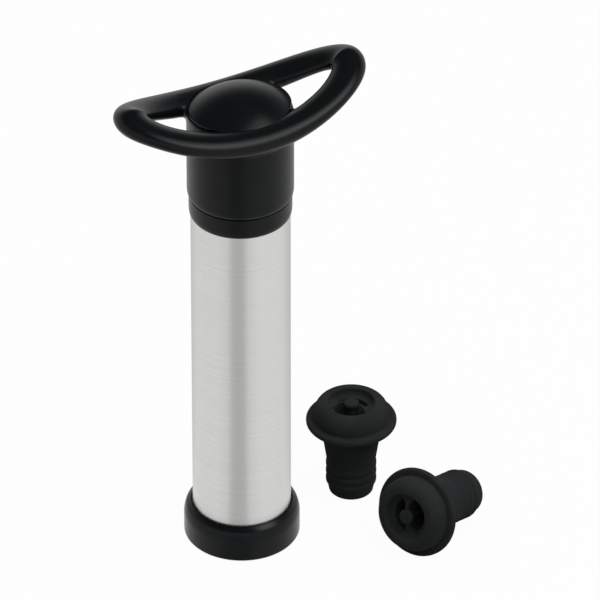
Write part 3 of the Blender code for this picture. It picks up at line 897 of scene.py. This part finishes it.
collar_low, collar_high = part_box("collar")
collar_foot = tube_high.z + GAP
bush_seat = BUSH_RADIUS + GAP
bush_recess = bush_seat + BUSH_FLANGE_WIDTH
bush_recess_floor = collar_high.z - BUSH_FLANGE_THICKNESS - GAP
collar_outline = [(COLLAR_RADIUS, collar_high.z)]
collar_outline += foot_round(
    COLLAR_RADIUS, collar_foot, COLLAR_ROUND_DEPTH, COLLAR_ROUND_HEIGHT
)
collar_outline += [
    (SPIGOT_RADIUS, collar_foot),
    (SPIGOT_RADIUS, collar_low.z),
    (bush_seat, collar_low.z),
    (bush_seat, bush_recess_floor),
    (bush_recess, bush_recess_floor),
    (bush_recess, collar_high.z),
]
collar = turned("fine_collar", collar_outline, pump_axis)
soften(collar, COLLAR_EDGE, segments=3)
hand_over(collar, black_plastic, "barrel", "collar")

# %% [markdown]
# The handle's neck and hub
#
# The neck is a plain barrel that comes down to the collar, rounded in at its foot. It is turned
# first as a full solid. The hollow comes later, when the grip has been joined on.

# %% Neck
NECK_RADIUS = 0.0203
NECK_WALL = 0.0022
NECK_ROUND_HEIGHT = 0.0026
NECK_ROUND_DEPTH = 0.0008
HUB_POCKET = 0.0074
HUB_ROOF = 0.0040

handle_low, handle_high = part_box("handle")
hub_roof_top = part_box("handle_washer")[0].z - GAP
hub_top = hub_roof_top + HUB_POCKET
hub_roof_bottom = hub_roof_top - HUB_ROOF
neck_outline = [(0.0, hub_top), (NECK_RADIUS, hub_top)]
neck_outline += foot_round(NECK_RADIUS, handle_low.z, NECK_ROUND_DEPTH, NECK_ROUND_HEIGHT)
neck_outline += [(0.0, handle_low.z)]
handle = turned("fine_handle", neck_outline, pump_axis, closed=False)

# %% [markdown]
# The handle's grip
#
# The grip is an oval loop whose two ends rise. Its bar has an oval section, widest at the two
# ends. An oval ring is added at each place along the loop, square to its run and at its own
# width, and bridging all the rings in order makes the bar. A bent torus would have got its
# thickness wrong, because squeezing the torus squeezes the bar too.

# %% Grip
LOOP_HALF_LENGTH = 0.0452
LOOP_HALF_WIDTH = 0.0172
LOOP_END_RISE = 0.0119
LOOP_DROP = 0.0039
BAR_MIDDLE_HALF_WIDTH = 0.0062
BAR_END_HALF_WIDTH = 0.0064
BAR_HALF_HEIGHT = 0.0051
LOOP_RINGS = 132
RING_POINTS = 36

loop_height = hub_top - LOOP_DROP


def loop_place(angle):
    return Vector(
        (
            pump_axis.x + LOOP_HALF_LENGTH * math.cos(angle),
            pump_axis.y + LOOP_HALF_WIDTH * math.sin(angle),
            loop_height + LOOP_END_RISE * math.cos(angle) ** 2,
        )
    )


def loop_axes(angle):
    """Across the bar, up through it, and along it, as the columns of a turn."""
    along = Vector(
        (
            -LOOP_HALF_LENGTH * math.sin(angle),
            LOOP_HALF_WIDTH * math.cos(angle),
            -LOOP_END_RISE * math.sin(2 * angle),
        )
    ).normalized()
    across = along.cross(Vector((0.0, 0.0, 1.0))).normalized()
    return Matrix((across, across.cross(along), along)).transposed()


def add_bar_ring(angle):
    """One oval ring of the bar, an object of its own for the moment."""
    widening = (BAR_MIDDLE_HALF_WIDTH - BAR_END_HALF_WIDTH) * math.sin(angle) ** 2
    bpy.ops.mesh.primitive_circle_add(
        vertices=RING_POINTS,
        radius=BAR_HALF_HEIGHT,
        location=loop_place(angle),
        rotation=loop_axes(angle).to_euler(),
    )
    added = bpy.context.object
    added.scale.x = (BAR_END_HALF_WIDTH + widening) / BAR_HALF_HEIGHT
    return added


bar_rings = [add_bar_ring(math.tau * i / LOOP_RINGS) for i in range(LOOP_RINGS)]
deselect()
for bar_ring in bar_rings:
    bar_ring.select_set(True)
grip = bar_rings[0]
grip.name = "grip_loop"
bpy.context.view_layer.objects.active = grip
bpy.ops.object.join()
bpy.ops.object.transform_apply(location=True, rotation=True, scale=True)
start_editing(grip)
bpy.ops.mesh.bridge_edge_loops(type="CLOSED")
bpy.ops.mesh.select_all(action="SELECT")
bpy.ops.mesh.normals_make_consistent(inside=False)
bpy.ops.object.mode_set(mode="OBJECT")
print("grip", len(grip.data.vertices), "points", len(grip.data.polygons), "faces")

# %% [markdown]
# One moulding
#
# The neck and the grip are one piece of plastic, which flows from one to the other in a small
# hollow round. The two solids are joined, remeshed into even small faces, and smoothed where
# they meet. Rounding the join with a bevel would fail on its many short edges.

# %% Join the grip to the neck
SKIN_SIZE = 0.00045
SMOOTHING_SHARE = 0.5
SKIN_SMOOTHING = 4
JOIN_SMOOTHING = 26
JOIN_REACH = 0.0042
JOIN_FRONT = 0.0150

combine(handle, grip, "UNION")
skin = handle.modifiers.new("skin", "REMESH")
skin.mode = "VOXEL"
skin.voxel_size = SKIN_SIZE
apply_modifier(handle, skin)


def near_the_join(place):
    """Close to the hub's wall, at the height of the bars, and off the front and back."""
    off_axis = (place.xy - pump_axis).length
    return (
        abs(off_axis - NECK_RADIUS) < JOIN_REACH
        and abs(place.y - pump_axis.y) < JOIN_FRONT
        and place.z > loop_height - 2 * BAR_HALF_HEIGHT
    )


start_editing(handle)
bpy.ops.mesh.vertices_smooth(factor=SMOOTHING_SHARE, repeat=SKIN_SMOOTHING)
join_points = select_where(handle, near_the_join)
bpy.ops.mesh.vertices_smooth(factor=SMOOTHING_SHARE, repeat=JOIN_SMOOTHING)
bpy.ops.object.mode_set(mode="OBJECT")
print("smoothed", join_points, "points at the join")

# %% [markdown]
# The handle's hollow
#
# The neck is hollow, so that it can pass over the collar's rod bush, and the hub has a pocket
# for the cap. One turned cutter makes the pocket, the screw's hole, the socket for the rod and
# the bore. A second one, oval, trims the bars back to leave room for the cap.

# %% Cut the handle's hollow
CAP_HALF_LENGTH = 0.0200
CAP_HALF_WIDTH = 0.0171
CAP_SPIGOT_RADIUS = 0.0130
SCREW_HOLE = 0.0023
ROD_RADIUS = 0.0120
SOCKET_WALL = 0.0020
SOCKET_DEPTH = 0.0080
CUT_OVERRUN = 0.0010

cut_top = handle_high.z + CUT_OVERRUN
pocket = CAP_SPIGOT_RADIUS + GAP
socket_bore = ROD_RADIUS + GAP
socket_outer = socket_bore + SOCKET_WALL
socket_foot = hub_roof_bottom - SOCKET_DEPTH
neck_bore = NECK_RADIUS - NECK_WALL
hollow = turned(
    "hollow_cutter",
    [
        (0.0, cut_top),
        (pocket, cut_top),
        (pocket, hub_roof_top),
        (SCREW_HOLE, hub_roof_top),
        (SCREW_HOLE, hub_roof_bottom),
        (socket_bore, hub_roof_bottom),
        (socket_bore, socket_foot),
        (socket_outer, socket_foot),
        (socket_outer, hub_roof_bottom),
        (neck_bore, hub_roof_bottom),
        (neck_bore, handle_low.z - CUT_OVERRUN),
        (0.0, handle_low.z - CUT_OVERRUN),
    ],
    pump_axis,
    closed=False,
)
combine(handle, hollow, "DIFFERENCE")


def narrow(piece, half_length, half_width):
    """Squeezes a turned piece to an oval, about the pump's axis."""
    start_editing(piece)
    bpy.ops.transform.resize(
        value=(1.0, half_width / half_length, 1.0),
        center_override=pump_axis.to_3d(),
    )
    bpy.ops.object.mode_set(mode="OBJECT")


room_half_length = CAP_HALF_LENGTH + GAP
room = turned(
    "cap_room_cutter",
    [
        (0.0, cut_top),
        (room_half_length, cut_top),
        (room_half_length, hub_top),
        (0.0, hub_top),
    ],
    pump_axis,
    closed=False,
)
narrow(room, room_half_length, CAP_HALF_WIDTH + GAP)
combine(handle, room, "DIFFERENCE")
smooth(handle)
hand_over(handle, black_plastic, "handle", "handle")

# %% [markdown]
# The handle's cap
#
# The oval dome hides the screw. It is turned round and then narrowed to fit between the bars.
# Its rim stands a hair's breadth off them, which is the fine dark line round it.

# %% Handle cap
CAP_RIM = 0.0009
CAP_RISE = 0.0066
CAP_WALL = 0.0020
CAP_SPIGOT_DEPTH = 0.0030
CAP_EDGE = 0.00035
DOME_STEPS = 20

cap_base = hub_top + GAP
cap_rim_top = cap_base + CAP_RIM
dome_sphere = (CAP_HALF_LENGTH**2 + CAP_RISE**2) / (2 * CAP_RISE)
dome_half_angle = math.asin(CAP_HALF_LENGTH / dome_sphere)
dome_centre = cap_rim_top + CAP_RISE - dome_sphere
cap_outline = []
for i in range(DOME_STEPS + 1):
    dome_angle = dome_half_angle * i / DOME_STEPS
    cap_outline.append(
        (dome_sphere * math.sin(dome_angle), dome_centre + dome_sphere * math.cos(dome_angle))
    )
cap_outline += [(CAP_HALF_LENGTH, cap_base), (0.0, cap_base)]
cap = turned("fine_handle_cap", cap_outline, pump_axis, closed=False)
soften(cap, CAP_EDGE, segments=3)
narrow(cap, CAP_HALF_LENGTH, CAP_HALF_WIDTH)
cap_spigot = turned(
    "cap_spigot",
    [
        (CAP_SPIGOT_RADIUS, cap_rim_top),
        (CAP_SPIGOT_RADIUS, cap_base - CAP_SPIGOT_DEPTH),
        (CAP_SPIGOT_RADIUS - CAP_WALL, cap_base - CAP_SPIGOT_DEPTH),
        (CAP_SPIGOT_RADIUS - CAP_WALL, cap_rim_top),
    ],
    pump_axis,
)
combine(cap, cap_spigot, "UNION")
smooth(cap)
hand_over(cap, black_plastic, "handle", "handle_cap")

# %% [markdown]
# The rod and its bush
#
# The rod is hidden at rest and shows when the handle is pulled up, so it gets a fine turned
# piece of its own. So does the pale bush in the collar that it slides through.

# %% Rod and bush
ROD_WALL = 0.0020
ROD_END_PLATE = 0.0040
BUSH_WALL = 0.0015
FINE_EDGE = 0.00015

rod_low, rod_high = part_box("piston_rod")
rod_inside = ROD_RADIUS - ROD_WALL
rod = turned(
    "fine_piston_rod",
    [
        (ROD_RADIUS, rod_high.z),
        (ROD_RADIUS, rod_low.z),
        (SCREW_HOLE, rod_low.z),
        (SCREW_HOLE, rod_low.z + ROD_END_PLATE),
        (rod_inside, rod_low.z + ROD_END_PLATE),
        (rod_inside, rod_high.z - ROD_END_PLATE),
        (SCREW_HOLE, rod_high.z - ROD_END_PLATE),
        (SCREW_HOLE, rod_high.z),
    ],
    pump_axis,
)
soften(rod, EDGE_ROUND)
hand_over(rod, rod_plastic, "handle", "piston_rod")

bush_low, bush_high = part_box("rod_bush")
bush_flange = BUSH_RADIUS + BUSH_FLANGE_WIDTH
bush_flange_bottom = bush_high.z - BUSH_FLANGE_THICKNESS
bush = turned(
    "fine_rod_bush",
    [
        (bush_flange, bush_high.z),
        (bush_flange, bush_flange_bottom),
        (BUSH_RADIUS, bush_flange_bottom),
        (BUSH_RADIUS, bush_low.z),
        (BUSH_RADIUS - BUSH_WALL, bush_low.z),
        (BUSH_RADIUS - BUSH_WALL, bush_high.z),
    ],
    pump_axis,
)
soften(bush, FINE_EDGE)
hand_over(bush, bush_plastic, "barrel", "rod_bush")

# %% [markdown]
# The bell
#
# The inlet cup closes the barrel below. Its bell is what fits over a stopper's head, and it is
# seen only from underneath, where a coarse ring would show its corners.

# %% Inlet cup and its gasket
CUP_RADIUS = 0.0182
CUP_RIM_RADIUS = 0.0176
CUP_RIM_STEP = 0.0008
CUP_SOCKET = 0.01525
CUP_ROOF = 0.0030
CUP_SPIGOT = 0.0050
CUP_WALL = 0.0020
INLET_RADIUS = 0.0020
O_RING_THICKNESS = 0.0012
GASKET_WIDTH = 0.0055
GASKET_EDGE = 0.0004

cup_low, cup_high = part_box("inlet_cup")
cup_shoulder = cup_low.z + CUP_RIM_STEP
cup_roof_top = cup_high.z - CUP_SPIGOT
cup_roof_bottom = cup_roof_top - CUP_ROOF
groove_floor = SPIGOT_RADIUS - O_RING_THICKNESS - GAP
groove_half = O_RING_THICKNESS / 2 + GAP
groove_middle = (cup_roof_top + cup_high.z) / 2
cup = turned(
    "fine_inlet_cup",
    [
        (SPIGOT_RADIUS, cup_high.z),
        (SPIGOT_RADIUS, groove_middle + groove_half),
        (groove_floor, groove_middle + groove_half),
        (groove_floor, groove_middle - groove_half),
        (SPIGOT_RADIUS, groove_middle - groove_half),
        (SPIGOT_RADIUS, cup_roof_top),
        (CUP_RADIUS, cup_roof_top),
        (CUP_RADIUS, cup_shoulder),
        (CUP_RIM_RADIUS, cup_shoulder),
        (CUP_RIM_RADIUS, cup_low.z),
        (CUP_SOCKET, cup_low.z),
        (CUP_SOCKET, cup_roof_bottom),
        (INLET_RADIUS, cup_roof_bottom),
        (INLET_RADIUS, cup_roof_top),
        (groove_floor - CUP_WALL, cup_roof_top),
        (groove_floor - CUP_WALL, cup_high.z),
    ],
    pump_axis,
)
soften(cup, FINE_EDGE)
hand_over(cup, black_plastic, "barrel", "inlet_cup")

gasket_low, gasket_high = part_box("inlet_gasket")
gasket_radius = CUP_SOCKET - GAP
gasket = turned(
    "fine_inlet_gasket",
    [
        (gasket_radius, gasket_high.z),
        (gasket_radius, gasket_low.z),
        (gasket_radius - GASKET_WIDTH, gasket_low.z),
        (gasket_radius - GASKET_WIDTH, gasket_high.z),
    ],
    pump_axis,
)
soften(gasket, GASKET_EDGE, segments=3)
hand_over(gasket, seal_rubber, "barrel", "inlet_gasket")

# %% [markdown]
# The stoppers
#
# Both stoppers come from one mould, so one is modelled and copied. It stands on its foot at the
# origin while it is made. The profile runs from the floor of the crater in its head, over the
# lip and the dome to the brim, and down the ribbed stem to the hollow foot.

# %% Turn the stopper
STOPPER_HEIGHT = 0.0413
FOOT_RADIUS = 0.0087
FOOT_ROUND = 0.0009
PLUG_LENGTH = 0.0036
VALLEY_RADIUS = 0.0092
RIB_RADIUS = 0.00985
RIB_CREST = 0.0014
RIB_PITCH = 0.00355
RIB_COUNT = 3
STEM_FOOT_RADIUS = 0.0095
STEM_TOP_RADIUS = 0.0116
STEM_TOP_HEIGHT = 0.0282
BEAD_RADIUS = 0.0122
BEAD_HEIGHT = 0.0018
BRIM_RADIUS = 0.0176
BRIM_THICKNESS = 0.0026
BRIM_ROUND = 0.0011
BRIM_TOP_HEIGHT = 0.0341
DOME_RADIUS = 0.01465
DOME_HEIGHT = 0.0054
LIP_RADIUS = 0.0097
LIP_ROUND = 0.0007
BOWL_DEPTH = 0.0032
HOLE_RADIUS = 0.0068
CRATER_DEPTH = 0.0150
STEM_BORE_RADIUS = 0.0062
MEMBRANE_THICKNESS = 0.0030
STOPPER_EDGE = 0.0003
STOPPER_CREASE = math.radians(20.0)

crater_floor = STOPPER_HEIGHT - CRATER_DEPTH
lip_middle = STOPPER_HEIGHT - LIP_ROUND
dome_start = LIP_RADIUS + LIP_ROUND
dome_foot = STOPPER_HEIGHT - DOME_HEIGHT
brim_bottom = BRIM_TOP_HEIGHT - BRIM_THICKNESS
brim_edge = BRIM_RADIUS - BRIM_ROUND
bore_top = crater_floor - MEMBRANE_THICKNESS

stopper_outline = [(0.0, crater_floor), (HOLE_RADIUS, crater_floor)]
stopper_outline += arc(
    HOLE_RADIUS,
    lip_middle,
    LIP_RADIUS - LIP_ROUND - HOLE_RADIUS,
    BOWL_DEPTH - LIP_ROUND,
    start=-90,
    end=-8,
    steps=8,
)
stopper_outline += arc(LIP_RADIUS, lip_middle, LIP_ROUND, LIP_ROUND, start=180, end=90, steps=5)
stopper_outline += arc(
    dome_start, dome_foot, DOME_RADIUS - dome_start, DOME_HEIGHT, start=84, end=0, steps=12
)
stopper_outline += [(DOME_RADIUS, BRIM_TOP_HEIGHT)]
stopper_outline += arc(
    brim_edge, BRIM_TOP_HEIGHT - BRIM_ROUND, BRIM_ROUND, BRIM_ROUND, start=85, end=0, steps=5
)
stopper_outline += arc(
    brim_edge, brim_bottom + BRIM_ROUND, BRIM_ROUND, BRIM_ROUND, start=0, end=-85, steps=5
)
stopper_outline += [
    (BEAD_RADIUS, STEM_TOP_HEIGHT + BEAD_HEIGHT),
    (BEAD_RADIUS, STEM_TOP_HEIGHT),
    (STEM_TOP_RADIUS, STEM_TOP_HEIGHT),
    (STEM_FOOT_RADIUS, PLUG_LENGTH + RIB_COUNT * RIB_PITCH),
]
for i in reversed(range(RIB_COUNT)):
    valley = PLUG_LENGTH + i * RIB_PITCH
    rib_middle = valley + RIB_PITCH / 2
    stopper_outline += [
        (RIB_RADIUS, rib_middle + RIB_CREST / 2),
        (RIB_RADIUS, rib_middle - RIB_CREST / 2),
        (VALLEY_RADIUS, valley),
    ]
stopper_outline += foot_round(FOOT_RADIUS, 0.0, FOOT_ROUND, FOOT_ROUND, steps=5)
stopper_outline += [(STEM_BORE_RADIUS, 0.0), (STEM_BORE_RADIUS, bore_top), (0.0, bore_top)]
origin_axis = Vector((0.0, 0.0))
stopper = turned(
    "stopper_pattern", stopper_outline, origin_axis, steps=STOPPER_STEPS, closed=False
)
soften(stopper, STOPPER_EDGE, segments=3, angle=STOPPER_CREASE)

# %% [markdown]
# The valve in the head
#
# A bar crosses the crater, with a flat round knob on a stalk at its middle. It leaves two deep
# half-moon openings. Next to the knob the bar is hardly thicker than a card. From there it
# flares out, dips and climbs the crater's wall. A long box is cut into slices, and the points
# at every cut and at both ends are spread and raised to that run.

# %% Valve bar and knob
KNOB_RADIUS = 0.0029
KNOB_SINK = 0.0002
KNOB_EDGE = 0.0004
KNOB_THICKNESS = 0.0013
STALK_RADIUS = 0.0015
KNOB_DOT_RADIUS = 0.00028
KNOB_DOT_DEPTH = 0.0005
KNOB_STEPS = 48
BAR_CUTS = 29
BAR_NECK_WIDTH = 0.0011
BAR_NECK_LENGTH = 0.0012
BAR_FAN_WIDTH = 0.0140
BAR_FLARE_POWER = 1.7
BAR_END_SINK = 0.0009
BAR_DIP_SINK = 0.0024
BAR_RISE_POWER = 1.5
BAR_EDGE = 0.00022

bar_foot = crater_floor - MEMBRANE_THICKNESS / 2
bar_half_length = LIP_RADIUS - LIP_ROUND / 2
bar_low_top = STOPPER_HEIGHT - BAR_DIP_SINK
deselect()
bpy.ops.mesh.primitive_cube_add(size=1.0, location=(0.0, 0.0, (bar_foot + bar_low_top) / 2))
valve_bar = bpy.context.object
valve_bar.name = "valve_bar"
valve_bar.scale = (2 * bar_half_length, BAR_NECK_WIDTH, bar_low_top - bar_foot)
bpy.ops.object.transform_apply(location=True, rotation=False, scale=True)
bar_slice = 2 * bar_half_length / (BAR_CUTS + 1)
slice_reach = bar_slice / 4
flare_start = KNOB_RADIUS + BAR_NECK_LENGTH
for i in range(BAR_CUTS):
    start_editing(valve_bar)
    bpy.ops.mesh.bisect(
        plane_co=(-bar_half_length + bar_slice * (i + 1), 0.0, 0.0),
        plane_no=(1.0, 0.0, 0.0),
    )
    bpy.ops.object.mode_set(mode="OBJECT")
start_editing(valve_bar)
for i in range(BAR_CUTS + 2):
    along = -bar_half_length + bar_slice * i
    outwards = max(0.0, (abs(along) - flare_start) / (bar_half_length - flare_start))
    width = BAR_NECK_WIDTH + (BAR_FAN_WIDTH - BAR_NECK_WIDTH) * outwards**BAR_FLARE_POWER
    rise = (BAR_DIP_SINK - BAR_END_SINK) * abs(2 * outwards - 1) ** BAR_RISE_POWER
    select_where(valve_bar, lambda place: abs(place.x - along) < slice_reach)
    bpy.ops.transform.resize(
        value=(1.0, width / BAR_NECK_WIDTH, 1.0), center_override=(0.0, 0.0, 0.0)
    )
    select_where(
        valve_bar,
        lambda place: abs(place.x - along) < slice_reach and place.z > bar_low_top - SAME_PLACE,
    )
    bpy.ops.transform.translate(value=(0.0, 0.0, rise))
bpy.ops.object.mode_set(mode="OBJECT")
soften(valve_bar, BAR_EDGE)

knob_top = STOPPER_HEIGHT - KNOB_SINK
knob = turned(
    "valve_knob",
    [(0.0, knob_top - KNOB_DOT_DEPTH), (KNOB_DOT_RADIUS, knob_top)]
    + arc(
        KNOB_RADIUS - KNOB_EDGE,
        knob_top - KNOB_EDGE,
        KNOB_EDGE,
        KNOB_EDGE,
        start=90,
        end=0,
        steps=4,
    )
    + [
        (KNOB_RADIUS, knob_top - KNOB_THICKNESS),
        (STALK_RADIUS, knob_top - KNOB_THICKNESS - KNOB_EDGE),
        (STALK_RADIUS, bar_foot),
        (0.0, bar_foot),
    ],
    origin_axis,
    steps=KNOB_STEPS,
    closed=False,
)
combine(valve_bar, knob, "UNION")
combine(stopper, valve_bar, "UNION")
smooth(stopper)
print("stopper", len(stopper.data.polygons), "faces")

# %% [markdown]
# Two copies
#
# Each copy gets a mesh of its own, is turned and moved to its place, and has that place applied
# to its mesh. One stands upright. The other lies on its side and has rolled a little. The
# photograph's barrel doesn't mirror them, so they are left out of mirrored rays.

# %% Place the stoppers
STANDING_TURN = math.radians(-44.0)
LYING_FOOT = Vector((0.064891, -0.011019, 0.008489))
LYING_HEADING = math.radians(26.0)
LYING_ROLL = math.radians(38.0)

lying_slope = math.atan2(BRIM_RADIUS - FOOT_RADIUS, BRIM_TOP_HEIGHT - BRIM_THICKNESS / 2)
lying_up = Vector(
    (
        -math.cos(LYING_HEADING) * math.cos(lying_slope),
        -math.sin(LYING_HEADING) * math.cos(lying_slope),
        math.sin(lying_slope),
    )
)
tipped_over = Vector((0.0, 0.0, 1.0)).rotation_difference(lying_up).to_matrix()
lying_turn = tipped_over @ Matrix.Rotation(LYING_ROLL, 3, "Z")
standing_turn = Matrix.Rotation(STANDING_TURN, 3, "Z")


def place_stopper(name, node, turn, foot):
    pick(stopper)
    bpy.ops.object.duplicate(linked=False)
    copy = bpy.context.object
    copy.name = name
    copy.matrix_world = Matrix.Translation(foot) @ turn.to_4x4()
    bpy.ops.object.transform_apply(location=True, rotation=True, scale=True)
    copy.visible_glossy = False
    hand_over(copy, black_rubber, node, node)


place_stopper("fine_stopper_standing", "stopper_standing", standing_turn, standing_axis.to_3d())
place_stopper("fine_stopper_lying", "stopper_lying", lying_turn, LYING_FOOT)
bpy.data.objects.remove(stopper, do_unlink=True)

# %% [markdown]
# The pieces inside
#
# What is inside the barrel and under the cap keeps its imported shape. Each piece only gets the
# finish of its own material.

# %% Dress the inner pieces
INNER_FINISHES = {
    "cylinder_liner": liner_plastic,
    "cup_o_ring": seal_rubber,
    "bumper_ring": seal_rubber,
    "piston_head": black_plastic,
    "piston_seal": seal_rubber,
    "seal_retainer": black_plastic,
    "piston_screw": screw_steel,
    "handle_screw": screw_steel,
    "handle_washer": screw_steel,
}
for inner_node, inner_finish in INNER_FINISHES.items():
    for inner_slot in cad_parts[inner_node].material_slots:
        inner_slot.material = inner_finish
print("dressed", len(INNER_FINISHES), "inner pieces")
